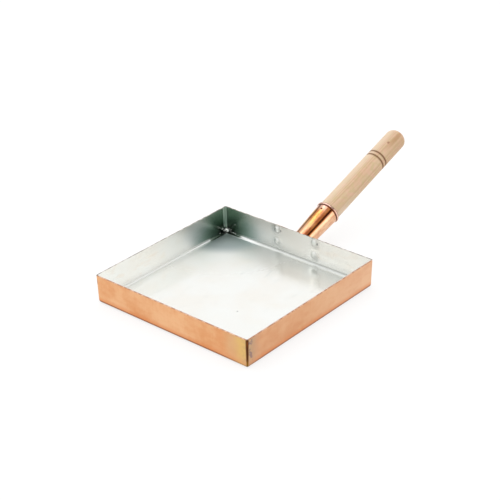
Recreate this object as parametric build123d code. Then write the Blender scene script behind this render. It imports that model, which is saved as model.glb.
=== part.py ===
"""A square copper omelette pan: a folded and brazed copper box with a tin lining, and a turned wooden
handle held in a rolled copper socket that is riveted to one wall.

Frame: the origin is the centre of the pan's flat underside, +Z is up and the handle leaves along +X.
Lengths are in millimetres and angles in degrees.
"""

from build123d import *

import os
from math import cos, hypot, isclose, radians, sin, tan

# The copper box. It is cut from one square blank, its four sides are folded up, and its corners are brazed.
PAN_WIDTH = 180.0  # outside width of the rim, the same both ways
WALL_HEIGHT = 28.5  # underside to rim
WALL_DRAFT_ANGLE = 1.25  # the walls lean out by this much
SHEET = 1.2  # thickness of the copper
FOLD_RADIUS = 3.2  # outside radius of the four bottom folds
CORNER_RADIUS = 2.2  # outside radius of the upright corners
RIM_ROUND = 0.4  # the rim's outer edge is filed off to this radius

# The brass that fills each corner between two wall ends, and the tin wiped over the inside.
BRAZE_WIDTH = 0.7
TIN = 0.2

# The socket, rolled from one copper sheet. Its lengths run along the handle's axis from the wall.
HANDLE_RISE_ANGLE = 19.0  # the handle's axis above the level
SOCKET_FOOT = 9.3  # height of the axis at the wall, above the end of the fold
SOCKET_SHEET = 0.9
SOCKET_LENGTH = 53.4
SOCKET_ROOT_RADIUS = 9.4  # outside radius where the axis meets the wall
SOCKET_NECK_RADIUS = 11.4  # outside radius where the flare begins
FLARE_LENGTH = 5.5
FLARE_RISE = 0.55  # the flare widens the outside radius by this much
BEAD_RADIUS = 1.1  # radius of the round lip's own section
BEAD_PROUD = 0.6  # the lip stands out past the flare by this much
SEAM_GAP = 0.4  # open butt seam along the underside
ROOT_BEND = 1.3  # radius of the bend from the cone into the flange
COLLAR_MARGIN = 0.6  # flat flange left beyond that bend, above and below the cone

# The flange's two ears, and the rivets through them.
EAR_SPAN = 61.0  # from the tip of one ear to the tip of the other
EAR_CORNER_RADIUS = 6.0
EAR_ROOT_SHARE = 0.8  # the ears reach in to this share of the cone's root radius
EAR_RIM_GAP = 0.6  # the ears stop this far under the rim
EAR_FOLD_GAP = 1.4  # the ears stop this far above the fold
RIVET_SPAN = 45.0  # between the two columns of rivets
RIVET_RIM_DROP = 4.5  # upper rivets, below the rim
RIVET_FOLD_RISE = 7.8  # lower rivets, above the fold
RIVET_RADIUS = 2.0  # shank
RIVET_HEAD_RADIUS = 3.3
RIVET_HEAD_HEIGHT = 1.3  # the domed head inside the pan
RIVET_TAIL_RADIUS = 3.2
RIVET_TAIL_HEIGHT = 1.5  # the hammered tail outside

# The nail that holds the wood in the socket.
NAIL_SETBACK = 8.0  # from the mouth
NAIL_RADIUS = 0.7
NAIL_DEPTH = 9.0  # below the outside of the socket
NAIL_HEAD_RADIUS = 1.1
NAIL_HEAD_HEIGHT = 0.4

# The turned wooden handle. Its lengths run along its axis from the socket's mouth.
WOOD_LENGTH = 124.8  # what shows
WOOD_RADIUS = 10.95  # at the mouth
WOOD_END_RADIUS = 10.75
WOOD_CROWN = 2.5  # height of the domed end
WOOD_END_ROUND = 7.5  # radius between the domed end and the grip
PLUG_LENGTH = 38.0  # the tapered part inside the socket
PLUG_CHAMFER = 1.0
GROOVE_PLACE = 79.9  # the first of the two turned grooves
GROOVE_PITCH = 5.1
GROOVE_COUNT = 2
GROOVE_WIDTH = 1.5
GROOVE_DEPTH = 0.7

# How far a cutting tool runs past what it cuts.
OVERRUN = 3.0

draft = radians(WALL_DRAFT_ANGLE)
rise = radians(HANDLE_RISE_ANGLE)
half_rim = PAN_WIDTH / 2
half_foot = half_rim - WALL_HEIGHT * tan(draft)


def folded_box(inset):
    """The box's form, moved in from its outside by inset: a tapered block whose edges are rounded by fillets.

    The four bottom folds come first, and then each upright corner with the two mitres under it."""
    width = PAN_WIDTH - 2 * inset
    depth = WALL_HEIGHT - inset
    lean = depth * tan(draft)
    block = Rot(-90, 0, 0) * Wedge(width, depth, width, lean, lean, width - lean, width - lean)
    form = Pos(0, 0, WALL_HEIGHT - depth / 2) * block
    form = fillet(form.edges().group_by(Axis.Z)[0], FOLD_RADIUS - inset)
    return fillet(form.edges().filter_by(on_diagonal), CORNER_RADIUS - inset)


def on_diagonal(edge):
    """Whether an edge belongs to one of the box's corners."""
    middle = edge.center()
    return isclose(abs(middle.X), abs(middle.Y), abs_tol=TIN)


def seam_blades():
    """Four thin upright plates, one on each diagonal, where the brass fills between two wall ends."""
    start = hypot(half_foot - FOLD_RADIUS, half_foot - FOLD_RADIUS)
    length = hypot(half_rim, half_rim) - start
    blade = Pos(start + length / 2, 0, WALL_HEIGHT / 2) * Box(length, BRAZE_WIDTH, WALL_HEIGHT)
    return [Rot(0, 0, 45 + 90 * side) * blade for side in range(4)]


def solids_of(*shapes):
    """Every solid in the given shapes, as one group."""
    return Compound(children=[solid for shape in shapes for solid in shape.solids()])


# The wall's outer face behind the handle, and a frame on it: local x runs across, y up the wall, z outwards.
axis_height = FOLD_RADIUS + SOCKET_FOOT
wall_plane = Plane(
    origin=(half_rim - (WALL_HEIGHT - axis_height) * tan(draft), 0, axis_height),
    x_dir=(0, 1, 0),
    z_dir=(cos(draft), 0, -sin(draft)),
)
handle_plane = Plane(origin=wall_plane.origin, x_dir=(-sin(rise), 0, cos(rise)), z_dir=(cos(rise), 0, sin(rise)))


def up_wall(height):
    """Distance up the wall's face, from the handle's axis, of a point at this height."""
    return (height - axis_height) / cos(draft)


def behind_wall():
    """A block that fills everything on the pan's side of the wall's outer face."""
    depth = half_rim
    return wall_plane * Pos(0, 0, -depth / 2) * Box(PAN_WIDTH, PAN_WIDTH, depth)


flange_foot = up_wall(FOLD_RADIUS + EAR_FOLD_GAP)


def rivet_places():
    """The four rivet centres, on the wall's outer face, in its frame."""
    upper = up_wall(WALL_HEIGHT - RIVET_RIM_DROP)
    lower = up_wall(FOLD_RADIUS + RIVET_FOLD_RISE)
    return [Pos(across, up, 0) for across in (-RIVET_SPAN / 2, RIVET_SPAN / 2) for up in (lower, upper)]


def dome(radius, height):
    """A round button standing on the XY plane: the cap of a ball."""
    half = make_face(TangentArc((0, height), (radius, 0), tangent=(1, 0)) + Polyline((radius, 0), (0, 0), (0, height)))
    return revolve(Plane.YZ * half, Axis.Z)


def rivet():
    """One rivet on the wall's frame: its tail outside the ear, its shank, and its head on the lining."""
    inside = -(SHEET + TIN)
    grip = SOCKET_SHEET - inside
    shank = Pos(0, 0, inside + grip / 2) * Cylinder(RIVET_RADIUS, grip)
    tail = Pos(0, 0, SOCKET_SHEET) * dome(RIVET_TAIL_RADIUS, RIVET_TAIL_HEIGHT)
    head = Pos(0, 0, inside) * Rot(180, 0, 0) * dome(RIVET_HEAD_RADIUS, RIVET_HEAD_HEIGHT)
    return shank + tail + head


def rivet_hole():
    reach = SHEET + TIN + SOCKET_SHEET + OVERRUN
    return Cylinder(RIVET_RADIUS, 2 * reach)


lip_place = SOCKET_LENGTH - BEAD_RADIUS
neck_place = lip_place - FLARE_LENGTH
lip_radius = SOCKET_NECK_RADIUS + FLARE_RISE


def socket_radius(place):
    """Outside radius of the socket's cone at this place along the axis."""
    return SOCKET_ROOT_RADIUS + (SOCKET_NECK_RADIUS - SOCKET_ROOT_RADIUS) * place / neck_place


def socket_form(inset, start):
    """The solid inside the socket's outline, drawn in by inset, from start up to the middle of the lip."""
    foot, neck, lip = socket_radius(start) - inset, SOCKET_NECK_RADIUS - inset, lip_radius - inset
    cone = Line((foot, start), (neck, neck_place))
    flare = TangentArc((neck, neck_place), (lip, lip_place), tangent=cone % 1)
    half = make_face(cone + flare + Polyline((lip, lip_place), (0, lip_place), (0, start), (foot, start)))
    return revolve(Plane.YZ * half, Axis.Z)


def flange_outline():
    """The flange in the wall's frame: a collar round the cone's root, with an ear on each side."""
    top = up_wall(WALL_HEIGHT - EAR_RIM_GAP)
    inner = SOCKET_ROOT_RADIUS * EAR_ROOT_SHARE
    width = EAR_SPAN / 2 - inner
    ear = RectangleRounded(width, top - flange_foot, EAR_CORNER_RADIUS)
    ears = [Pos(side * (inner + width / 2), (top + flange_foot) / 2) * ear for side in (-1, 1)]
    lean = rise + draft
    reach = ROOT_BEND / tan((radians(90) - lean) / 2) + COLLAR_MARGIN
    return Ellipse(SOCKET_ROOT_RADIUS + reach, SOCKET_ROOT_RADIUS / cos(lean) + reach) + ears


def handle_socket():
    """The rolled socket: flange and cone in one sheet, with a rolled lip and a butt seam underneath.

    The flange is cut straight across its foot, clear of the pan's fold."""
    back = -SOCKET_ROOT_RADIUS
    cone = handle_plane * socket_form(0, back) - behind_wall()
    form = extrude(wall_plane * flange_outline(), SOCKET_SHEET) + cone
    root = form.edges().filter_by(GeomType.ELLIPSE).sort_by_distance(wall_plane.origin)[:1]
    form = fillet(root, ROOT_BEND)
    below = wall_plane * Pos(0, flange_foot - EAR_SPAN / 2, 0) * Box(EAR_SPAN, EAR_SPAN, EAR_SPAN / 2)
    lip = Pos(0, 0, lip_place) * Torus(lip_radius + BEAD_PROUD - BEAD_RADIUS, BEAD_RADIUS)
    bore = socket_form(SOCKET_SHEET, back)
    bore = bore + Pos(0, 0, SOCKET_LENGTH) * Cylinder(lip_radius - SOCKET_SHEET, 2 * BEAD_RADIUS)
    depth = lip_radius + OVERRUN
    slit = Pos(-depth / 2, 0, SOCKET_LENGTH / 2) * Box(depth, SEAM_GAP, 2 * SOCKET_LENGTH)
    form = form - (below - cone) + handle_plane * lip - handle_plane * bore - handle_plane * slit
    for place in rivet_places():
        form = form - wall_plane * place * rivet_hole()
    return form - nail_shank()


nail_place = SOCKET_LENGTH - NAIL_SETBACK
nail_plane = handle_plane * Pos(socket_radius(nail_place), 0, nail_place) * Rot(0, 90, 0)


def nail_shank():
    """The nail's round shank, from the socket's outside down into the wood."""
    return nail_plane * Pos(0, 0, -NAIL_DEPTH / 2) * Cylinder(NAIL_RADIUS, NAIL_DEPTH)


def handle_nail():
    """The nail: a low domed head that sits down on the socket's curve, on a plain shank."""
    skirt = NAIL_HEAD_HEIGHT
    head = dome(NAIL_HEAD_RADIUS, NAIL_HEAD_HEIGHT) + Pos(0, 0, -skirt / 2) * Cylinder(NAIL_HEAD_RADIUS, skirt)
    return nail_plane * head - handle_plane * socket_form(0, 0) + nail_shank()


def wooden_handle():
    """The turned wood: a tapered plug that fills the socket, a grip with two grooves, and a domed end."""
    tip = SOCKET_LENGTH + WOOD_LENGTH
    plug = socket_form(SOCKET_SHEET, SOCKET_LENGTH - PLUG_LENGTH)
    plug = plug & Pos(0, 0, SOCKET_LENGTH / 2) * Cylinder(WOOD_RADIUS, SOCKET_LENGTH)
    plug = chamfer(plug.edges().sort_by(Axis.Z)[:1], PLUG_CHAMFER)
    side = Polyline((0, lip_place), (WOOD_RADIUS, lip_place), (WOOD_END_RADIUS, tip - WOOD_CROWN))
    crown = TangentArc((0, tip), (WOOD_END_RADIUS, tip - WOOD_CROWN), tangent=(1, 0))
    half = make_face(side + crown + Line((0, tip), (0, lip_place)))
    shoulder = half.vertices().sort_by_distance((WOOD_END_RADIUS, tip - WOOD_CROWN))[:1]
    grip = revolve(Plane.XZ * fillet(shoulder, WOOD_END_ROUND), Axis.Z)
    wood = plug + grip
    for number in range(GROOVE_COUNT):
        wood = wood - groove(SOCKET_LENGTH + GROOVE_PLACE + number * GROOVE_PITCH)
    return handle_plane * wood - nail_shank()


def groove(place):
    """A V-shaped groove turned round the grip."""
    deep, out = WOOD_RADIUS - GROOVE_DEPTH, WOOD_RADIUS + GROOVE_DEPTH
    vee = make_face(Polyline((deep, place), (out, place - GROOVE_WIDTH), (out, place + GROOVE_WIDTH), close=True))
    return revolve(Plane.XZ * vee, Axis.Z)


outside = folded_box(0)
outside = fillet(outside.faces().sort_by(Axis.Z)[-1].edges(), RIM_ROUND)
inside = folded_box(SHEET)
tin_face = folded_box(SHEET + TIN)
blades = seam_blades()
holes = [wall_plane * place * rivet_hole() for place in rivet_places()]

pan_body = outside - inside - blades - holes
brazing = solids_of(*[((outside - inside) & blade) for blade in blades])
tin_lining = inside - tin_face - holes

parts = {
    "pan_body": pan_body,
    "corner_brazing": brazing,
    "tin_lining": tin_lining,
    "handle_socket": handle_socket(),
    "socket_rivets": solids_of(*[wall_plane * place * rivet() for place in rivet_places()]),
    "handle_nail": handle_nail(),
    "wooden_handle": wooden_handle(),
}

os.makedirs("parts", exist_ok=True)
for name, shape in parts.items():
    export_step(solids_of(shape), f"parts/{name}.step")
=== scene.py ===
# %% [markdown]
# # A square copper omelette pan
# The pan is a box folded from one copper sheet, brazed at its corners and tinned inside. A rolled copper
# socket is riveted to one wall and holds a turned wooden handle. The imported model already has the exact
# form of every piece, in metres, so this script only brings it in, adds the tin that gathers in the corners
# and round the rivets, and gives every surface its finish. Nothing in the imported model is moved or
# reshaped.

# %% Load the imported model
from functools import reduce
from math import cos, pi, radians, sin, tan
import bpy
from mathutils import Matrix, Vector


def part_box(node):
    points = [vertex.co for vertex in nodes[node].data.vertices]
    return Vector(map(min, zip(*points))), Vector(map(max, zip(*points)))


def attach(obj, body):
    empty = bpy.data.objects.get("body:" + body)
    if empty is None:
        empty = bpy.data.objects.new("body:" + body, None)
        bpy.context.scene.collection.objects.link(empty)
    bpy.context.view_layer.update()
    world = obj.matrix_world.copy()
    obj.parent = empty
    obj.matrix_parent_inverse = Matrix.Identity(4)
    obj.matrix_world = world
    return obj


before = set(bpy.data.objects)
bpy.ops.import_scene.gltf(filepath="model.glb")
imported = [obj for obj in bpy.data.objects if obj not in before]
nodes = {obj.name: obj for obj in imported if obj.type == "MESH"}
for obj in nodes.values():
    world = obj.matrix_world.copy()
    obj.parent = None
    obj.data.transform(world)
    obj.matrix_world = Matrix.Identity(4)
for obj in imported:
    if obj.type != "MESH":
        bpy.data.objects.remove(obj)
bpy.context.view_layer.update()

from types import SimpleNamespace

import bpy
import numpy as np
from mathutils import Matrix, Vector

print("pieces:", sorted(nodes))

# %% [markdown]
# The finishes need a few places on the object: how high the walls are, how far out they stand, where the
# rivets are, and the line of the handle. They are read from the pieces themselves where a piece's box shows
# them, so that the patterns stay on the right spots if the pan is made again a little larger.

# %% Places on the object
pan_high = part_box("pan_body")[1]
tin_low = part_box("tin_lining")[0]
rivets_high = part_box("socket_rivets")[1]
HALF_WIDTH = pan_high.x
RIM_HEIGHT = pan_high.z
TIN_THICKNESS = 0.0002
FLOOR_HEIGHT = tin_low.z + TIN_THICKNESS
TAIL_RADIUS = 0.0033
RIVET_SPAN = rivets_high.y - TAIL_RADIUS
RIVET_ROWS = (0.0110, RIM_HEIGHT - 0.0045)
HANDLE_RISE = radians(19.0)
HANDLE_ROOT = Vector((0.08965, 0.0, 0.0125))
MOUTH = 0.0534
print("half width, rim, floor in mm:", [round(1000 * v, 2) for v in (HALF_WIDTH, RIM_HEIGHT, FLOOR_HEIGHT)])
print("rivets", round(1000 * RIVET_SPAN, 2), "mm to either side")
print("rows of rivets at", [round(1000 * v, 2) for v in RIVET_ROWS], "mm")

# %% [markdown]
# ## The camera
# The photograph was taken from above one corner, with a long lens, so the sides of the square hardly draw
# together. The camera's place, its lens and its slight tilt were solved from the eight corners of the box.
# Blender's camera looks along its own -Z, so its matrix has the right, up and backward directions as
# columns.

# %% Set the camera
CAMERA_PLACE = Vector((-0.83636, -0.73311, 0.64320))
LOOK_AZIMUTH = radians(40.534)
LOOK_DOWN = radians(28.231)
CAMERA_ROLL = radians(-1.043)
look = Vector((cos(LOOK_AZIMUTH) * cos(LOOK_DOWN), sin(LOOK_AZIMUTH) * cos(LOOK_DOWN), -sin(LOOK_DOWN)))
level_right = look.cross(Vector((0, 0, 1))).normalized()
level_up = level_right.cross(look)
right = level_right * cos(CAMERA_ROLL) + level_up * sin(CAMERA_ROLL)
up = level_up * cos(CAMERA_ROLL) - level_right * sin(CAMERA_ROLL)

camera = bpy.data.objects.new("camera", bpy.data.cameras.new("camera"))
bpy.context.scene.collection.objects.link(camera)
camera.matrix_world = Matrix.Translation(CAMERA_PLACE) @ Matrix((right, up, -look)).transposed().to_4x4()
camera.data.sensor_width = 36.0
camera.data.lens = 100.25
bpy.context.scene.camera = camera
bpy.context.scene.view_settings.view_transform = "Standard"
print("camera", [round(v, 3) for v in camera.location], "lens", camera.data.lens)

# %% [markdown]
# ## Shader sums as plain arithmetic
# A finish is a sum of masks and noises. Wiring each Math node by hand hides the sum, so one small class
# wraps a socket and lets `1 - mask * 0.5` add the nodes for us. Every other kind of node comes from its one
# `node` method, which takes the node's type, its settings, and the value or link of each socket.

# %% A socket with arithmetic
class Value:
    """One output socket. Arithmetic on it adds Math nodes to its tree."""

    def __init__(self, socket):
        self.socket = socket
        self.tree = socket.id_data

    def node(self, kind, inputs, output=0, stops=None, **settings):
        """Add a node: settings and ramp stops first, then each socket's value or link. Gives one output."""
        made = self.tree.nodes.new(kind)
        for name, setting in settings.items():
            setattr(made, name, setting)
        if stops:
            elements = made.color_ramp.elements
            elements.remove(elements[1])
            elements[0].position = stops[0][0]
            for place, _ in stops[1:]:
                elements.new(place)
            for element, (_, colour) in zip(elements, stops):
                element.color = (*colour, 1.0)
        for name, value in inputs.items():
            if isinstance(value, Value):
                self.tree.links.new(value.socket, made.inputs[name])
            else:
                made.inputs[name].default_value = value
        return Value(made.outputs[output])

    def math(self, operation, *terms):
        """A Math node of this operation on these terms."""
        return self.node("ShaderNodeMath", dict(enumerate(terms)), operation=operation)

    def __add__(self, other):
        return self.math("ADD", self, other)

    def __radd__(self, other):
        return self.math("ADD", other, self)

    def __sub__(self, other):
        return self.math("SUBTRACT", self, other)

    def __rsub__(self, other):
        return self.math("SUBTRACT", other, self)

    def __mul__(self, other):
        return self.math("MULTIPLY", self, other)

    def __rmul__(self, other):
        return self.math("MULTIPLY", other, self)

    def __truediv__(self, other):
        return self.math("DIVIDE", self, other)

    def __rtruediv__(self, other):
        return self.math("DIVIDE", other, self)

    def __abs__(self):
        return self.math("ABSOLUTE", self)

# %% [markdown]
# A few more words are used in every finish: a soft step between two values, a noise stretched along one
# direction, and a mix of two colours. Colours are written as the 0-255 numbers seen in a picture editor and
# turned to linear light once, in Python.

# %% Words for finishes
def linear(*levels):
    """A screen colour, 0 to 255 a channel, as linear light: the standard curve, level by level."""
    share = np.array(levels) / 255.0
    return tuple(np.where(share <= 0.04045, share / 12.92, ((share + 0.055) / 1.055) ** 2.4).tolist())


def step(value, start, end):
    """0 before start and 1 after end, with a smooth rise between them."""
    sockets = {"Value": value, "From Min": start, "From Max": end}
    return value.node("ShaderNodeMapRange", sockets, interpolation_type="SMOOTHSTEP")


def spot(value, centre, reach):
    """1 at centre, falling to 0 at reach on both sides of it."""
    return step(abs(value - centre), reach, 0.0)


def noise(vector, size, stretch=(1, 1, 1), detail=3.0, roughness=0.5, twist=0.0):
    """Cloudy noise from 0 to 1. Size is a cloud's size in metres, and stretch lengthens it by direction."""
    scale = tuple(1.0 / (size * s) for s in stretch)
    moved = vector.node("ShaderNodeMapping", {"Vector": vector, "Scale": scale})
    sockets = {"Vector": moved, "Scale": 1.0, "Detail": detail, "Roughness": roughness, "Distortion": twist}
    return vector.node("ShaderNodeTexNoise", sockets)


def blend(mask, first, second):
    """The first colour where mask is 0 and the second where it is 1. The Mix node takes colours at its
    sockets 6 and 7 and gives one at its output 2."""
    sockets = {0: mask}
    for number, colour in ((6, first), (7, second)):
        sockets[number] = colour if isinstance(colour, Value) else (*colour, 1.0)
    return mask.node("ShaderNodeMix", sockets, output=2, data_type="RGBA")


def parts_of(vector):
    """The x, y and z of a vector as three values."""
    split = vector.node("ShaderNodeSeparateXYZ", {0: vector})
    return [Value(socket) for socket in split.socket.node.outputs]


def smallest(first, second):
    """The smaller of two values at every place."""
    return first.math("MINIMUM", first, second)


def largest(first, second):
    """The larger of two values at every place."""
    return first.math("MAXIMUM", first, second)


def length_of(*parts):
    """The length of a vector given by its parts: the square root of the sum of their squares."""
    total = parts[0] * parts[0]
    for part in parts[1:]:
        total = total + part * part
    return total.math("SQRT", total)


print("middle grey on a screen is", round(linear(128)[0], 3), "of white light")

# %% [markdown]
# Every finish starts the same way: a Principled shader, and the object's own coordinates to lay patterns
# on. `finish` makes both, and `wear` hands a finish to a piece.

# %% Start a finish, give it to a piece
def finish(name, **constants):
    """A new material: its Principled shader with these constant sockets, and its Object coordinates."""
    material = bpy.data.materials.new(name)
    material.use_nodes = True
    tree = material.node_tree
    tree.nodes.clear()
    shader = tree.nodes.new("ShaderNodeBsdfPrincipled")
    output = tree.nodes.new("ShaderNodeOutputMaterial")
    tree.links.new(shader.outputs[0], output.inputs["Surface"])
    for socket, value in constants.items():
        shader.inputs[socket.replace("_", " ")].default_value = value
    place = Value(tree.nodes.new("ShaderNodeTexCoord").outputs["Object"])
    return material, shader, place


def feed(shader, **values):
    """Link varying values to the shader's sockets."""
    for socket, value in values.items():
        value.tree.links.new(value.socket, shader.inputs[socket.replace("_", " ")])


def relief(height, depth):
    """A Bump node: a height of 1 stands for this depth in metres."""
    sockets = {"Height": height, "Distance": depth, "Strength": 1.0}
    return height.node("ShaderNodeBump", sockets, output="Normal")


def wear(piece, material):
    """Give a piece this finish and no other."""
    piece.data.materials.clear()
    piece.data.materials.append(material)
    print(piece.name, "wears", material.name, "with", len(material.node_tree.nodes), "nodes")

# %% [markdown]
# ## Satin copper for the box
# The outside was rubbed with fine abrasive, up and down the walls, so its streaks are upright and its gloss
# is soft. The foot is painted a deeper orange, ending in a thin dark line: painted shade of the fold and of
# the floor's contact shade mirrored in the copper. The two walls where x is greater than y are painted a
# little darker and browner, as painted shade of the side away from the light, and pinker towards the
# handle. One noise alone looks either cloudy or brushed, so three of falling size share out the hue. Along
# a wall, the distance to the nearest upright corner is half the width less the smaller of |x| and |y|.

# %% Copper of the box
copper, shader, place = finish("satin_copper", Metallic=1.0)
x, y, z = parts_of(place)
corner = HALF_WIDTH - smallest(abs(x), abs(y))
x_side = step(x - y, -0.004, 0.004)

clouds = noise(place, 0.026, stretch=(1.4, 1.4, 1), detail=3.0, roughness=0.5)
scuffs = noise(place, 0.005, stretch=(2.2, 2.2, 1), detail=5.0, roughness=0.65)
streaks = noise(place, 0.0022, stretch=(1, 1, 7), detail=3.0, roughness=0.6)
hue = clouds * 0.55 + scuffs * 0.32 + streaks * 0.13
colour = blend(step(hue, 0.36, 0.64), linear(227, 160, 108), linear(241, 189, 142))
colour = blend(step(scuffs, 0.56, 0.70) * 0.3, colour, linear(228, 182, 122))
# Painted shade: the walls where x is greater than y are darkened and browned, pinker towards the handle.
side_shade_brown = blend(step(x, -0.01, 0.075), linear(192, 150, 124), linear(216, 188, 168))
colour = blend(x_side * 0.3, colour, side_shade_brown)
# Painted shade: a deeper orange at the foot and a thin dark line at the fold, for the mirrored floor
# contact shade.
colour = blend(step(z, 0.0085, 0.0025) * 0.6, colour, linear(226, 134, 76))
colour = blend(step(z, 0.0040, 0.0022) * 0.85, colour, linear(142, 84, 50))
print("plain copper takes", len(copper.node_tree.nodes), "nodes")

# %% [markdown]
# ### Heat marks
# The torch that ran the brass into the corners left straw and tan bands on the copper beside them, and a
# burnt line along the seam. A band could be painted on a picture, but a mask of the distance to the corner
# keeps its place at any size. Noise makes its edge wander. The bands fade towards the foot, and where x is
# greater than y they are narrower, greyer and smoked.

# %% The heat marks beside the brazed corners
wander = (noise(place, 0.008, detail=4.0) - 0.5) * 0.008
heated = step(abs(x + y), 0.09, 0.15)
reach = 0.0255 - x_side * 0.0105
higher = step(z, 0.004, 0.015) * 0.6 + 0.4
band = step(corner + wander - reach, 0.0050, -0.0090) * heated * higher
colour = blend(band * 0.7, colour, blend(x_side, linear(222, 178, 130), linear(198, 160, 130)))
straw = step(corner + wander - reach * 0.5, 0.006, -0.007) * heated * higher
colour = blend(straw * 0.85, colour, blend(x_side, linear(229, 190, 116), linear(196, 164, 124)))
smoke = step(noise(place, 0.0035, detail=3.0), 0.48, 0.60) * step(corner, 0.0085, 0.0050) * heated
colour = blend(smoke * (0.1 + x_side * 0.7), colour, linear(138, 112, 118))
mark = step(corner, 0.0022, 0.0012) * spot(z, 0.0225, 0.0042) * step(y - x, 0.120, 0.165)
colour = blend(mark, colour, linear(58, 36, 24))
burnt = step(corner, 0.0024, 0.0016) * heated
burnt_colour = blend(step(z, 0.0085, 0.0035), linear(92, 46, 24), linear(158, 118, 46))
colour = blend(burnt * 0.9, colour, blend(step(z, 0.0022, 0.0012), burnt_colour, linear(44, 32, 20)))
print("with its heat marks it takes", len(copper.node_tree.nodes))

# %% [markdown]
# ### The filed rim
# The sheet's cut edge was filed and left. It is only half a millimetre of height at the top of the wall, so
# height alone finds it. The two edges on the far side carry tin over the copper and look greyer.

# %% The filed rim
worn = noise(place, 0.0035, detail=4.0)
rear = step(largest(x, y), HALF_WIDTH - 0.0022, HALF_WIDTH - 0.0016)
edge_colour = blend(step(worn, 0.42, 0.58), linear(186, 136, 110), linear(222, 184, 160))
rear_colour = blend(step(worn, 0.44, 0.58), linear(126, 114, 100), linear(214, 206, 196))
edge_colour = blend(rear, edge_colour, rear_colour)
colour = blend(step(z, RIM_HEIGHT - 0.0005, RIM_HEIGHT - 0.0001), colour, edge_colour)
satin = 0.31 + streaks * 0.08 + scuffs * 0.06
feed(shader, Base_Color=colour, Roughness=satin, Normal=relief(streaks + scuffs, 0.000015))
wear(nodes["pan_body"], copper)

# %% [markdown]
# ## Darkened brass in the corners
# The brass that joins two wall ends oxidised under the torch. It is nearly black at the top, brown down
# most of the corner, and shows its own gold low down, with a burnt spot at the very foot.

# %% Brass of the seams
brass, shader, place = finish("darkened_brass", Metallic=1.0)
z = parts_of(place)[2]
patches = noise(place, 0.004, stretch=(1, 1, 3), detail=3.0)
level = z / RIM_HEIGHT + (patches - 0.5) * 0.12
scale = level.node(
    "ShaderNodeValToRGB",
    {"Fac": level},
    stops=[
        (0.02, linear(38, 26, 10)),
        (0.08, linear(120, 86, 22)),
        (0.20, linear(136, 92, 30)),
        (0.36, linear(84, 42, 20)),
        (0.70, linear(70, 34, 16)),
        (0.90, linear(140, 70, 14)),
        (1.00, linear(34, 16, 8)),
    ],
)
feed(shader, Base_Color=scale, Roughness=0.42 + patches * 0.2, Normal=relief(patches, 0.0001))
wear(nodes["corner_brazing"], brass)

# %% [markdown]
# ## Wiped tin for the lining
# Molten tin was wiped over the copper with a cloth, so the lining shines softly, waves a little, and keeps
# faint tracks of the wiping. Its marks depend on where they lie: on the floor or a wall, in the fold
# between them, or near the far corner, where painted shade surrounds a small blob of tin. The first step
# gives each of these places a name, once, so that colour, gloss and waves can all use it.

# %% Places on the lining
BLOB = Vector((0.0862, 0.0862, 0.0032))


def tin_places(place):
    """Distances in metres and masks from 0 to 1, by name. The spread from the far corner counts lengths
    along the walls less and heights more, so that what it colours reaches further along them than up."""
    x, y, z = parts_of(place)
    at = SimpleNamespace(x=x, y=y, z=z)
    at.from_handle_wall = HALF_WIDTH - x
    at.from_left_wall = HALF_WIDTH - y
    at.from_corner = length_of(HALF_WIDTH - abs(x), HALF_WIDTH - abs(y), z)
    at.from_wall = HALF_WIDTH - largest(abs(x), abs(y))
    at.from_blob = length_of(x - BLOB.x, y - BLOB.y, (z - BLOB.z) * 1.4)
    at.handle_wall = step(x, HALF_WIDTH - 0.006, HALF_WIDTH - 0.0025)
    at.on_floor = step(z, 0.0050, 0.0015)
    at.low = step(z, 0.0042, 0.0022) * step(at.from_wall, 0.0040, 0.0062)
    at.crease = step(length_of(at.from_handle_wall, at.from_left_wall), 0.0044, 0.0032)
    at.tucked = step(at.from_corner, 0.034, 0.006)
    at.ripple = noise(place, 0.0022, detail=3.0)
    at.from_far = length_of(at.from_handle_wall, at.from_left_wall, z)
    at.spread = length_of(at.from_handle_wall * 0.75, at.from_left_wall * 0.92, z * 1.1)
    at.spread = at.spread + (at.ripple - 0.5) * 0.006
    return at

# %% [markdown]
# The colour of clean tin is a cool grey white that yellows slightly in places. The cloth leaves greyer
# tracks and a few warm stains on the walls. The floor has painted shade beside the walls, in a wide strip
# along the one that carries the handle. The walls have a touch of painted shade towards the far corner,
# and so does the top of the handle's wall. Each of these is one noise or one distance, mixed in with a
# small share.

# %% Tin with its painted wall shade
def tin_with_wall_shade(at, drift, tracks, stains):
    """The colour of the wiped tin, with painted shade on its floor and walls, before the painted corner
    shade.
    """
    colour = blend(step(drift, 0.35, 0.7), linear(248, 249, 246), linear(247, 245, 239))
    colour = blend(step(tracks, 0.58, 0.78) * 0.35, colour, linear(222, 226, 223))
    stained = step(stains, 0.52, 0.70) * (1 - at.on_floor)
    colour = blend(stained * 0.25, colour, linear(240, 224, 204))
    # Painted shade: a grey strip on the floor along the walls, widest along the handle's wall.
    floor_shade_strip = largest(step(at.from_handle_wall, 0.042, 0.003), step(at.from_wall, 0.014, 0.003) * 0.35)
    colour = blend(floor_shade_strip * at.on_floor * 0.9, colour, linear(189, 192, 189))
    # Painted shade: the walls turn a little greyer towards the far corner.
    colour = blend(step(at.spread, 0.090, 0.030) * (1 - at.on_floor), colour, linear(230, 233, 230))
    # Painted shade: the top of the handle's wall is greyer, most towards the far corner.
    share = 0.45 + step(at.from_left_wall, 0.120, 0.060) * 0.25
    top_shade = step(at.z, 0.010, 0.024) * at.handle_wall * share
    return blend(top_shade, colour, linear(208, 207, 203))
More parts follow.
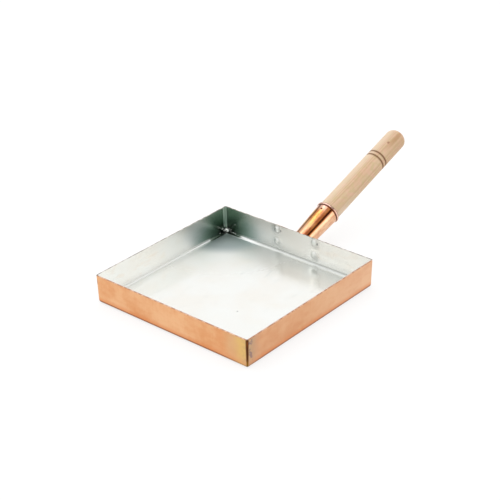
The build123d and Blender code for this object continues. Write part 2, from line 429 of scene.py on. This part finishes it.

# %% [markdown]
# ### Painted shade in the far corner
# The far corner carries painted shade and a painted dark reflection. The walls are grey green far out and
# nearly black close in, and the floor has a thin grey shade. The jagged blob of tin in the middle has none,
# and the upright crease has little. The star's arms come from a noise that is read at the direction from
# the blob rather than at the place, so its value is the same all along each arm.

# %% Painted shade round the blob
def with_corner_shade(at, place, colour):
    """The colour with its painted corner shade, and the mask of the blob that has none. Where the noise of
    directions is high, the blob and the painted shade reach further out."""
    outward = place.node("ShaderNodeVectorMath", {0: place, 1: BLOB}, operation="SUBTRACT")
    outward = outward.node("ShaderNodeVectorMath", {0: outward}, operation="NORMALIZE")
    arms = noise(outward, 0.22, detail=3.0, roughness=0.6)
    blob_mask = step(at.from_blob - largest(arms - 0.55, 0.0) * 0.120, 0.0030, 0.0019)
    # Painted shade: grey green on the walls and pale grey on the floor, spreading from the far corner.
    outer_corner_shade = step(at.spread - at.z * at.handle_wall * 0.25, 0.046, 0.022) * (1 - blob_mask)
    colour = blend(outer_corner_shade, colour, blend(at.on_floor, linear(156, 177, 163), linear(240, 241, 241)))
    # Painted shade: a thin grey on the floor near the far corner.
    floor_corner_shade = step(at.from_far, 0.054, 0.034) * at.low * (1 - blob_mask)
    colour = blend(floor_corner_shade, colour, linear(191, 200, 201))
    starred = at.spread + (arms - 0.5) * 0.014
    # Painted shade: grey green on the walls near the far corner, less in the crease and higher up.
    green_corner_shade = step(starred, 0.034, 0.012) * (1 - at.crease * 0.8)
    green_corner_shade = green_corner_shade * (1 - step(at.z, 0.008, 0.020) * 0.7)
    colour = blend(green_corner_shade * (1 - blob_mask) * (1 - at.on_floor) * 0.9, colour, linear(96, 122, 102))
    # Painted shade: nearly black close to the corner and along its folds.
    deep_corner_shade = step(starred, 0.0180, 0.0060) * (1 - at.low * 0.85) * (1 - at.crease * 0.8)
    in_fold = step(at.from_wall, 0.0062, 0.0042) * step(at.z, 0.0062, 0.0042)
    deep_corner_shade = largest(deep_corner_shade * (1 - at.handle_wall * 0.35), step(at.spread, 0.0220, 0.0180) * in_fold * 0.9)
    colour = blend(deep_corner_shade * (1 - blob_mask), colour, linear(106, 126, 112))
    above = largest(at.z - 0.004, 0.0) * (0.3 + at.handle_wall * 1.4)
    # Painted shade: black round the blob, reaching higher on the handle's wall.
    blackest_corner_shade = step(at.from_blob + above - (arms - 0.5) * 0.016, 0.0150, 0.0050)
    blackest_corner_shade = blackest_corner_shade * (1 - at.low * 0.9) * (1 - at.crease * 0.6)
    return blend(blackest_corner_shade * (1 - blob_mask), colour, linear(12, 20, 14)), blob_mask

# %% [markdown]
# ### Pits
# Two small pits show on the wall beside the rivets and one dark speck on the floor. Each is a disc: the
# distance to its centre, through a narrow step.

# %% Pits and a speck
PITS = [(0.0182, 0.0236), (-0.0261, 0.0238)]
SPECK = Vector((-0.0244, -0.0225))


def pitted(at, colour):
    """The colour with its speck and its pits."""
    speck = step(length_of(at.x - SPECK.x, at.y - SPECK.y), 0.0011, 0.0005) * at.on_floor
    colour = blend(speck * 0.45, colour, linear(90, 94, 90))
    for pit_y, pit_z in PITS:
        pit = step(length_of((at.y - pit_y) * 1.5, at.z - pit_z), 0.0016, 0.0009) * at.handle_wall
        colour = blend(pit * 0.6, colour, linear(84, 88, 88))
    return colour

# %% [markdown]
# ### Waves and gloss
# Hand-wiped tin is never flat, and what it mirrors shows every slope. The waves are a Bump whose height is
# a sum in millimetres: a slow drift, a rise of the tin towards each corner, a slope on the blob that turns
# it to the light above, a small bulge with ripples round each rivet, and a swell of the handle's wall
# towards its foot and towards the far corner. The gloss falls in the folds and on the floor near the far
# corner, and rises a little where a corner shelters the tin.

# %% Waves and gloss of tin
def tin_waves(at, drift, tracks, lumps, blob_mask):
    """The height of the tin in millimetres."""
    from_row = smallest(abs(at.z - RIVET_ROWS[0]), abs(at.z - RIVET_ROWS[1]))
    near_rivets = step(length_of(abs(at.y) - RIVET_SPAN, from_row), 0.0080, 0.0012) * at.handle_wall
    waves = drift * 0.2 + tracks * 0.02 - step(at.from_corner, 0.0, 0.095) * 2.4
    waves = waves + at.ripple * at.tucked * 0.08
    waves = waves + (lumps * 1.3 + (BLOB.z - at.z) * 520) * blob_mask + (at.ripple * 0.5 + 0.3) * near_rivets
    waves = waves + step(at.z, 0.015, -0.003) * at.handle_wall * 0.7
    return waves + step(at.from_left_wall, 0.062, 0.012) * at.handle_wall * 2.4


def tin_gloss(at, shine, tracks, fine, blob_mask):
    """The roughness: a small number mirrors and a larger one blurs."""
    bend = spot(at.z, 0.0026, 0.0022) * step(at.from_wall, 0.0070, 0.0050)
    rough = shine + tracks * 0.06 + fine * 0.04 + bend * 0.12 + at.handle_wall * 0.03
    return rough + at.low * step(at.from_far, 0.110, 0.030) * 0.34 - at.tucked * 0.09 - blob_mask * 0.10

# %% [markdown]
# Three pieces wear this tin: the lining, the slopes in its corners and the rings round the rivets. So the
# finish is a function of its gloss. All three read the same Object coordinates, and the marks run on from
# one piece to the next without a seam.

# %% Tin of the lining
def tin_finish(name, shine):
    """Wiped tin of a given roughness."""
    material, shader, place = finish(name, Metallic=1.0)
    at = tin_places(place)
    drift = noise(place, 0.045, detail=3.0)
    tracks = noise(place, 0.006, stretch=(5, 1, 1), detail=4.0, roughness=0.6, twist=0.4)
    stains = noise(place, 0.012, stretch=(1, 1, 0.5), detail=5.0)
    fine = noise(place, 0.0012, stretch=(6, 1, 1), detail=3.0)
    lumps = noise(place, 0.0026, detail=2.0)
    colour, blob_mask = with_corner_shade(at, place, tin_with_wall_shade(at, drift, tracks, stains))
    waves = relief(tin_waves(at, drift, tracks, lumps, blob_mask), 0.001)
    gloss = tin_gloss(at, shine, tracks, fine, blob_mask)
    feed(shader, Base_Color=pitted(at, colour), Roughness=gloss, Normal=waves)
    return material


tin = tin_finish("soft_tin", shine=0.17)
wear(nodes["tin_lining"], tin)

# %% [markdown]
# ## Tin gathered in the corners
# Molten tin runs into the four upright corners and freezes there in a slope, wide at the floor and narrow
# above. A rounded edge of one radius would be too regular, so the slope is its own surface. At every height
# its section is a hollow quarter circle that touches both walls. The circle's radius shrinks from the floor
# upwards by a square root, and that makes the slope meet the floor as smoothly as it meets the walls.

# %% A slope in each corner
def corner_slopes(corner_x, floor_z, lean, foot, top, climb, end, rows=28, columns=13):
    """A slope in each corner. At height h the radius is top + (foot - top) * (1 - sqrt(h / climb))**2 up to
    the height climb, and top above it. At angle a the distances from the two walls are the radius times
    1 - cos a and 1 - sin a. The section closes on a line just behind the corner."""
    share = np.linspace(0, 1, rows)
    h = end * share**2
    radius = top + (foot - top) * (1 - np.minimum(np.sqrt(h / climb), 1)) ** 2
    a = np.linspace(0, pi / 2, columns)
    behind = np.full((rows, 1), -0.0001)
    from_x = np.concatenate([radius[:, None] * (1 - np.cos(a)), behind], axis=1)
    from_y = np.concatenate([radius[:, None] * (1 - np.sin(a)), behind], axis=1)
    away = corner_x + (h * tan(lean))[:, None]
    around = columns + 1
    here = np.arange(rows * around).reshape(rows, around)
    turned = np.roll(here, -1, axis=1)
    body = np.stack([here[:-1], turned[:-1], turned[1:], here[1:]], axis=-1).reshape(-1, 4).tolist()
    faces = body + [here[0][::-1].tolist(), here[-1].tolist()]
    every, all_faces = [], []
    for number, (side_x, side_y) in enumerate([(1, 1), (-1, -1), (1, -1), (-1, 1)]):
        level = np.broadcast_to((floor_z + h)[:, None], from_x.shape)
        places = [side_x * (away - from_x), side_y * (away - from_y), level]
        every.append(np.stack(places, axis=-1).reshape(-1, 3))
        turn = slice(None, None, -1 if side_x == side_y else 1)
        all_faces += [[n + number * here.size for n in face[turn]] for face in faces]
    return np.vstack(every), all_faces

# %% [markdown]
# A surface from arrays becomes a piece in two steps: its points and faces go into a mesh, and its volume is
# measured. The volume of a closed skin is a sum over its triangles of one sixth of a . (b x c). It comes
# out negative if the faces look inwards, so the printed volume also shows which way they turn.

# %% Make a piece and measure it
def piece_of(name, points, faces):
    """A smooth mesh object from arrays of points and faces."""
    mesh = bpy.data.meshes.new(name)
    mesh.from_pydata(points.tolist(), [], faces)
    mesh.polygons.foreach_set("use_smooth", np.ones(len(mesh.polygons), bool))
    mesh.update()
    made = bpy.data.objects.new(name, mesh)
    bpy.context.scene.collection.objects.link(made)
    return made


def volume_of(piece):
    """The volume inside a closed skin, from its triangles. It is positive when the faces point outwards."""
    mesh = piece.data
    mesh.calc_loop_triangles()
    triangles = np.empty(len(mesh.loop_triangles) * 3, np.int32)
    mesh.loop_triangles.foreach_get("vertices", triangles)
    places = np.empty(len(mesh.vertices) * 3)
    mesh.vertices.foreach_get("co", places)
    a, b, c = places.reshape(-1, 3)[triangles.reshape(-1, 3)].transpose(1, 0, 2)
    return float(np.einsum("ij,ij->i", a, np.cross(b, c)).sum() / 6)

# %% [markdown]
# The slopes start from the floor and from the inner faces of the walls, which lean out a little. The foot
# of the inner face is half the width, less the lean over the wall's height, less the thickness of the
# sheets.

# %% Set the slopes in the corners
WALL_LEAN = radians(1.25)
inner_foot = HALF_WIDTH - (RIM_HEIGHT - FLOOR_HEIGHT) * tan(WALL_LEAN) - FLOOR_HEIGHT / cos(WALL_LEAN)
slope_end = RIM_HEIGHT - FLOOR_HEIGHT - 0.0008
points, faces = corner_slopes(
    inner_foot, FLOOR_HEIGHT, WALL_LEAN, foot=0.0095, top=0.0013, climb=0.0110, end=slope_end
)
corner_tin = piece_of("corner_tin", points, faces)
wear(corner_tin, tin)
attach(corner_tin, "root")
print("corner slopes hold", round(volume_of(corner_tin) * 1e9, 2), "cubic mm")

# %% [markdown]
# ## The handle's own coordinates
# The socket and the wood lie along a rising axis, and their grain, rings and bands follow it. A Mapping
# node of the Texture kind turns the object's coordinates so that x runs up the handle from the wall. The
# pieces themselves stay where they are, and so every pattern on them lines up.

# %% Along the handle
UPPER_LEFT = (0.758, 0.652)


def along_handle(place):
    """Distance up the handle's axis, distance from that axis, and the place in the handle's own frame."""
    sockets = {"Vector": place, "Location": HANDLE_ROOT, "Rotation": (0.0, -HANDLE_RISE, 0.0)}
    turned = place.node("ShaderNodeMapping", sockets, vector_type="TEXTURE")
    run, across, over = parts_of(turned)
    return run, length_of(across, over), turned


def side_of(turned, reach):
    """The cosine of the angle round the axis: 1 on the handle's upper left side and -1 opposite it."""
    across, over = parts_of(turned)[1:]
    return (across * UPPER_LEFT[0] + over * UPPER_LEFT[1]) / reach

# %% [markdown]
# ## Polished copper for the socket
# The socket is brighter than the box, because it was polished after rolling. Polishing leaves fine lines
# round the cone. Heat drew gold along its upper side, which a mask of the angle round the axis finds: the
# cosine of that angle is the distance sideways and upwards, shared out, over the distance from the axis.
# Beside the gold, a red brown is painted where the dark band of the surround is mirrored, a painted
# reflection. The gold gives way to a paler pink near the mouth. The rolled lip has a painted pink white
# highlight, with painted shade in the crease under it and along its far edge.

# %% Copper of the socket
socket_copper, shader, place = finish("bright_copper", Metallic=1.0)
run, reach, turned = along_handle(place)
blotches = noise(turned, 0.0055, stretch=(2.4, 1, 1), detail=4.0, roughness=0.65)
rings = noise(turned, 0.0009, stretch=(1, 8, 8), detail=2.0)
round_side = side_of(turned, reach) + (blotches - 0.5) * 0.5
upper_left = step(round_side, 0.22, 0.45)
colour = blend(step(blotches, 0.38, 0.62), linear(216, 160, 124), linear(234, 190, 154))
near_mouth = step(run, MOUTH - 0.013, MOUTH - 0.005)
colour = blend(near_mouth * upper_left * 0.6, colour, linear(232, 186, 174))
gold = upper_left * step(run + (blotches - 0.5) * 0.03, 0.014, 0.034) * (1 - near_mouth)
glints = noise(turned, 0.0028, stretch=(2.6, 1, 1), detail=3.0, roughness=0.6)
gold_colour = blend(step(glints, 0.42, 0.58), linear(204, 120, 58), linear(224, 172, 94))
colour = blend(gold * 0.9, colour, gold_colour)
# Painted reflection: a red brown under the mirrored dark band, whose darkness comes from a gap in the
# surround.
red_brown = step(round_side, -0.28, -0.14) * step(round_side, 0.50, 0.12)
dark_band_tint = blend(step(blotches, 0.35, 0.65), linear(182, 88, 42), linear(216, 128, 58))
colour = blend(red_brown * 0.9, colour, dark_band_tint)
# Painted highlight: a pink white band on the rolled lip.
lip_highlight = step(run, MOUTH - 0.0022, MOUTH - 0.0018)
colour = blend(lip_highlight * 0.8, colour, linear(244, 206, 192))
# Painted shade: a dark red brown line in the crease under the lip and along the lip's far edge.
crease = largest(spot(run, MOUTH - 0.0028, 0.0012), step(run, MOUTH - 0.0011, MOUTH - 0.0007) * 0.7)
colour = blend(step(crease, 0.0, 0.7) * 0.92, colour, linear(74, 28, 18))
gloss = 0.06 + blotches * 0.08 + rings * 0.04 + crease * 0.3
feed(shader, Base_Color=colour, Roughness=gloss, Normal=relief(rings * 0.3 + blotches, 0.00006))
wear(nodes["handle_socket"], socket_copper)

# %% [markdown]
# ## Rivets
# The four rivets are copper, but the wiping tinned their heads with the rest of the inside. Two materials
# would need the heads cut off as pieces of their own. One material serves both ends instead: it turns from
# tin to copper where x passes through the wall.

# %% Copper rivets with tinned heads
rivet_metal, shader, place = finish("tinned_rivet_copper", Metallic=1.0)
x = parts_of(place)[0]
outer = step(x, HALF_WIDTH - 0.0014, HALF_WIDTH - 0.0010)
marks = noise(place, 0.0016, detail=3.0)
tinned = blend(step(marks, 0.4, 0.7), linear(249, 250, 247), linear(232, 235, 231))
colour = blend(outer, tinned, linear(226, 150, 104))
feed(shader, Base_Color=colour, Roughness=0.26 + marks * 0.12, Normal=relief(marks, 0.00010))
wear(nodes["socket_rivets"], rivet_metal)

# %% [markdown]
# ## The nail
# One small nail through the socket keeps the wood from turning. Its head is dark with age, so it gets a
# rough brown copper with a little noise, enough for a piece that is only a few pixels wide.

# %% Dark copper nail
nail_metal, shader, place = finish("dark_nail_copper", Metallic=1.0)
red_brown = noise(place, 0.0012, detail=2.0)
colour = blend(step(red_brown, 0.35, 0.65), linear(92, 34, 20), linear(150, 66, 40))
feed(shader, Base_Color=colour, Roughness=0.45 + red_brown * 0.15, Normal=relief(red_brown, 0.00008))
wear(nodes["handle_nail"], nail_metal)

# %% [markdown]
# ## Tin round the rivet heads
# Wiping draws molten tin up against each rivet head, where it freezes in a smooth hollow slope. The slope
# is a surface of two parameters: u goes round the rivet and v goes down from the head to the wall. Its
# section is closed by running back just under the lining, so each ring is a closed skin. All four are
# worked out at once, as one array of rivets by u by v.

# %% Rings of tin
def rings_of_tin(centres, inward, across, rise, head_radius, reach, height, turns=48, steps=10):
    """Rings on a flat wall. At angle u and share v the radius is head_radius + reach * v, and the height
    off the wall is height * (1 - v) squared. The section then returns at a small depth under the wall."""
    u = np.linspace(0, 2 * pi, turns, endpoint=False)
    v = np.linspace(0, 1, steps)
    radius = np.concatenate([head_radius + reach * v, [head_radius + reach, head_radius]])
    under = -0.00005
    off = np.concatenate([height * (1 - v) ** 2, [under, under]])
    flat = np.cos(u)[:, None, None] * across + np.sin(u)[:, None, None] * rise
    outwards = flat[None] * radius[None, None, :, None]
    points = centres[:, None, None, :] + outwards + inward * off[None, None, :, None]
    rows, columns = turns, len(radius)
    here = np.arange(rows)[:, None] * columns + np.arange(columns)[None, :]
    there = np.roll(here, -1, axis=0)
    corners = [here, there, np.roll(there, -1, axis=1), np.roll(here, -1, axis=1)]
    quads = np.stack(corners, axis=-1).reshape(-1, 4)
    shift = (np.arange(len(centres)) * rows * columns)[:, None, None]
    return points.reshape(-1, 3), (quads[None] + shift).reshape(-1, 4).tolist()

# %% [markdown]
# The rings sit on the inner face of the wall, one round each head. The centres come from the rivets' own
# box and the heights of the two rows, and the wall's lean gives the directions along it and off it.

# %% Set the rings round the heads
wall_up = np.array([sin(WALL_LEAN), 0.0, cos(WALL_LEAN)])
wall_in = np.array([-cos(WALL_LEAN), 0.0, sin(WALL_LEAN)])
wall_across = np.array([0.0, 1.0, 0.0])
heads = np.array([(side * RIVET_SPAN, level) for side in (-1, 1) for level in RIVET_ROWS])
rim_face = HALF_WIDTH - FLOOR_HEIGHT / cos(WALL_LEAN)
face_x = rim_face - (RIM_HEIGHT - heads[:, 1]) * tan(WALL_LEAN)
centres = np.column_stack([face_x, heads])
points, faces = rings_of_tin(
    centres, wall_in, wall_across, wall_up, head_radius=0.0024, reach=0.0018, height=0.00068
)
rivet_tin = piece_of("rivet_tin", points, faces)
wear(rivet_tin, tin_finish("dull_tin", shine=0.38))
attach(rivet_tin, "root")
print("rings hold", round(volume_of(rivet_tin) * 1e9, 2), "cubic mm")

# %% [markdown]
# ## Turned wood
# The handle is pale, close-grained wood left bare. Its growth rings are cylinders round a centre well
# outside the handle, so they cut its surface in long lines that close to tall arches. A wave of the
# distance from that centre gives them, finer pores run along the grain, and a soft mottle of pink and olive
# keeps it from looking printed. Painted light makes the upper left side a little paler all along; the
# opposite side is paler only next to the socket.

# %% Grain of the wood
RING_SPACING = 0.0017

wood, shader, place = finish("bare_wood", IOR=1.45)
run, reach, turned = along_handle(place)
bend = noise(turned, 0.012, stretch=(9, 1, 1), detail=2.0)
from_heart = {"Vector": turned, "Location": (0.0, 0.021, -0.016), "Scale": (0.0, 1.0, 1.0)}
centred = turned.node("ShaderNodeMapping", from_heart)
ring_place = centred.node("ShaderNodeVectorMath", {0: centred}, output="Value", operation="LENGTH")
ring_phase = (ring_place + bend * 0.004) * (2 * pi / RING_SPACING)
ring_wave = ring_phase.math("SINE", ring_phase) * 0.5 + 0.5
pores = noise(turned, 0.0006, stretch=(26, 1, 1), detail=3.0, roughness=0.6)
broad = noise(turned, 0.006, stretch=(10, 1, 1), detail=3.0)
colour = blend(ring_wave * 0.8, linear(224, 194, 160), linear(203, 168, 132))
colour = blend(step(broad, 0.42, 0.72) * 0.6, colour, linear(212, 172, 136))
colour = blend(step(pores, 0.50, 0.75) * 0.35, colour, linear(196, 150, 116))
mottle = noise(turned, 0.0045, stretch=(1.3, 1, 1), detail=4.0, roughness=0.6)
colour = blend(step(mottle, 0.50, 0.64) * 0.45, colour, linear(228, 182, 158))
colour = blend(step(mottle, 0.50, 0.38) * 0.45, colour, linear(206, 184, 136))
colour = blend(step(run, 0.120, 0.170) * 0.25, colour, linear(200, 158, 122))
side = side_of(turned, reach)
# Painted light: the upper left side is paler all along; the opposite side is paler next to the socket.
painted_lit_side = largest(step(side, 0.30, 0.95), step(side, -0.40, -0.85) * step(run, 0.105, 0.055))
colour = blend(painted_lit_side * step(reach, 0.004, 0.008) * 0.6, colour, linear(238, 218, 194))
print("the grain takes", len(wood.node_tree.nodes), "nodes")

# %% [markdown]
# ### Marks of use and of the tool
# The end that is held is a little darker, with a brown streak and one small knot. The two turned grooves
# are brown where the tool's edge rubbed them. All are masks in the handle's coordinates, laid over the
# grain.

# %% Marks on the wood
SCAR = (-0.0070, 0.0082)
KNOT = (0.1555, -0.0044, 0.0099)
GROOVES = (0.1333, 0.1384)

across, over = parts_of(turned)[1:]
scar = step(length_of(across - SCAR[0], over - SCAR[1]), 0.0030, 0.0008) * step(run, 0.138, 0.164)
from_knot = length_of((run - KNOT[0]) * 0.7, across - KNOT[1], over - KNOT[2])
knot = step(from_knot, 0.0015, 0.0007)
colour = blend(scar * 0.5, colour, linear(176, 122, 76))
colour = blend(knot * 0.7, colour, linear(150, 96, 66))
grooves = reduce(largest, [spot(run, centre, 0.0021) for centre in GROOVES])
colour = blend(grooves * 0.9, colour, linear(126, 82, 48))
grain = relief(pores * 0.6 + ring_wave * 0.4, 0.00005)
feed(shader, Base_Color=colour, Roughness=0.55 + pores * 0.15, Normal=grain)
wear(nodes["wooden_handle"], wood)

# %% [markdown]
# ## The studio
# A pale floor, a white surround and one large soft lamp overhead. What bright metal shows is its
# surroundings, so the surround matters as much as the lamp. It is white nearly all round. The side of the
# camera is darker, and three gaps in the white are darker still: they draw the dark bands on the socket and
# deepen the far corner of the tin. Six brighter windows give the edges, the gathered tin and the foot of
# the handle's wall their light. Each gap and window is a direction, the angle it fills, the angle where it
# ends, and how deep or bright it is. All of them are fixed in the room.

# %% Openings in the surround
world = bpy.data.worlds.new("studio")
bpy.context.scene.world = world
world.use_nodes = True
world.node_tree.nodes.clear()
direction = Value(world.node_tree.nodes.new("ShaderNodeTexCoord").outputs["Generated"])
seen = direction.node("ShaderNodeLightPath", {}, output="Is Camera Ray")


def opening(toward, full, edge):
    """1 within an angle of full degrees from a direction, and 0 beyond edge degrees."""
    sockets = {0: direction, 1: Vector(toward).normalized()}
    aim = direction.node("ShaderNodeVectorMath", sockets, output="Value", operation="DOT_PRODUCT")
    return step(aim, cos(radians(edge)), cos(radians(full)))


GAPS = [
    ((0.185, -0.69, 0.70), 8.5, 12.5, 0.97),
    ((0.13, -0.42, 0.90), 4, 26, 0.30),
    ((0.38, 0.87, 0.28), 4, 18, 0.75),
]
WINDOWS = [
    ((0.34, -0.92, 0.20), 8, 20, 0.80),
    ((0.14, 0.45, 0.88), 6, 18, 0.50),
    ((-0.30, -0.15, 0.94), 8, 18, 0.50),
    ((-0.19, -0.28, 0.94), 5, 13, 2.60),
    ((-0.47, 0.75, 0.47), 4, 10, 1.20),
    ((-0.73, 0.62, 0.29), 3, 11, 0.65),
]
print(len(GAPS), "gaps and", len(WINDOWS), "windows in the white")

# %% [markdown]
# A gap turns the white towards a very dark brown, as far as its depth says. The side of the camera turns a
# greenish grey. The camera itself meets neither: for its own rays the surround stays white, as the
# background of the photograph is.

# %% Light from all round
WHITE = (1.0, 1.0, 1.0)
GAP_COLOUR = (0.050, 0.016, 0.010)
LENS_SIDE_COLOUR = (0.22, 0.28, 0.24)

gaps = reduce(largest, [opening(toward, full, edge) * depth for toward, full, edge, depth in GAPS])
windows = sum(opening(toward, full, edge) * glow for toward, full, edge, glow in WINDOWS)
lens_side = opening(CAMERA_PLACE, 13, 29)
strength = largest(seen, 0.96 + parts_of(direction)[0] * 0.10 + windows)
room = blend(gaps * (1 - seen), WHITE, GAP_COLOUR)
room = blend(lens_side * (1 - seen), room, LENS_SIDE_COLOUR)
backdrop = direction.node("ShaderNodeBackground", {"Color": room, "Strength": strength})
output = world.node_tree.nodes.new("ShaderNodeOutputWorld")
world.node_tree.links.new(backdrop.socket, output.inputs["Surface"])
print("the surround takes", len(world.node_tree.nodes), "nodes")

# %% [markdown]
# One round soft lamp of more than a metre hangs above and a little behind the pan. A small lamp would draw
# hard highlights and shadows, and the real picture has neither. Its power is low, because the surround
# already gives most of the light.

# %% One large soft lamp
softbox = bpy.data.lights.new("softbox", "AREA")
softbox.shape = "DISK"
softbox.size = 1.4
softbox.energy = 3.0
lamp = bpy.data.objects.new("softbox", softbox)
bpy.context.scene.collection.objects.link(lamp)
lamp.location = (-0.15, 0.35, 1.2)
lamp.rotation_mode = "QUATERNION"
lamp.rotation_quaternion = (-lamp.location).to_track_quat("-Z", "Y")
print("softbox", softbox.size, "m across,", softbox.energy, "W")

# %% [markdown]
# The floor is a plain pale sheet just under the pan. It takes the lamp as any matt surface does, and to the
# camera and in the metal's reflections it also glows a little, so that it reads as the white of the
# background while the pan's soft shadow stays on it.

# %% Pale floor
FLOOR_REACH = 3.0
FLOOR_DROP = 0.0002

grid_x, grid_y = np.meshgrid([-FLOOR_REACH, FLOOR_REACH], [-FLOOR_REACH, FLOOR_REACH])
corners = np.stack([grid_x.ravel(), grid_y.ravel(), np.full(4, -FLOOR_DROP)], axis=1)
sheet = bpy.data.meshes.new("floor")
sheet.from_pydata(corners.tolist(), [], [(0, 1, 3, 2)])
floor = bpy.data.objects.new("floor", sheet)
bpy.context.scene.collection.objects.link(floor)

pale, shader, place = finish("pale_floor", Roughness=0.9, Emission_Strength=0.78, Specular_IOR_Level=0.0)
kinds = ("Is Camera Ray", "Is Glossy Ray", "Is Transmission Ray")
shown = reduce(largest, [place.node("ShaderNodeLightPath", {}, output=kind) for kind in kinds])
base = blend(shown, (0.8, 0.8, 0.8), (0.24, 0.24, 0.24))
feed(shader, Base_Color=base, Emission_Color=blend(shown, (0, 0, 0), WHITE))
wear(floor, pale)

# %% [markdown]
# Last, the view layer is brought up to date.

# %% Finish
bpy.context.view_layer.update()
